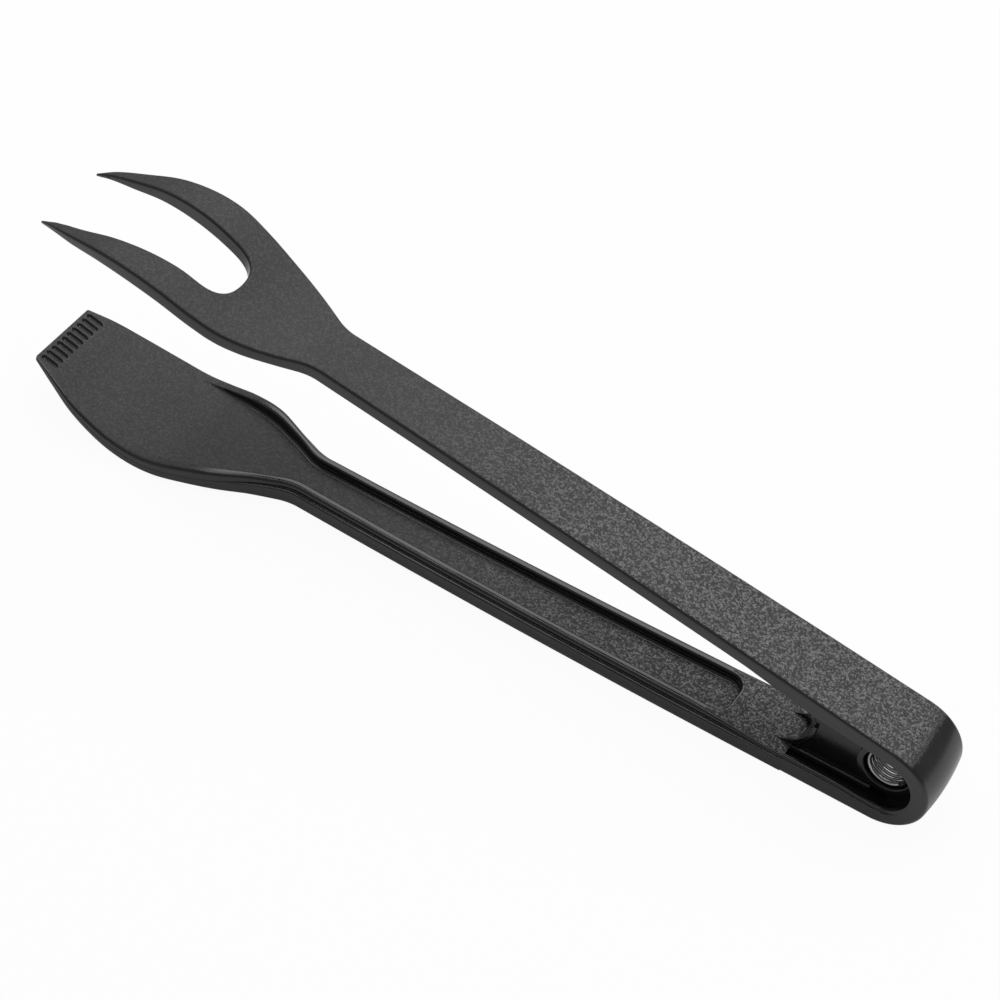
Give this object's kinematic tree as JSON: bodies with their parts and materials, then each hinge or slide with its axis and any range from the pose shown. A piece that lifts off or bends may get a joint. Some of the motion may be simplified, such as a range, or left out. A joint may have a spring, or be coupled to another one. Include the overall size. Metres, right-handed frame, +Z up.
{
  "type": "kitchen tongs",
  "caption": "Black nylon kitchen tongs: a fork-shaped upper arm and a turner-shaped lower arm, joined at a rounded hood with a sprung hinge.",
  "frame": {"origin": "bottom centre of the bounding box, on the surface that the tongs lie on at rest", "axes": "+X from the tips to the hood along the length, +Y across the tongs, +Z up from the turner arm to the fork arm"},
  "size_m": [0.2866, 0.041, 0.0771],
  "materials": {
    "black_nylon": "fine moulded grain, satin",
    "black_nylon_fork": "fine moulded grain, satin",
    "spring_steel": "drawn wire, bright"
  },
  "bodies": {
    "turner": {"turner_arm": "black_nylon", "torsion_spring": "spring_steel"},
    "fork": {"fork_arm": "black_nylon_fork"}
  },
  "joints": [
    {"name": "hinge", "type": "hinge", "parent": "turner", "child": "fork", "pos_m": [0.12828, 0, 0.01461], "axis": [0, -1, 0], "range_deg": [0, 11.3], "stiffness_Nm_per_rad": 1.5, "springref_deg": -20.05, "deforming": ["torsion_spring"]}
  ]
}
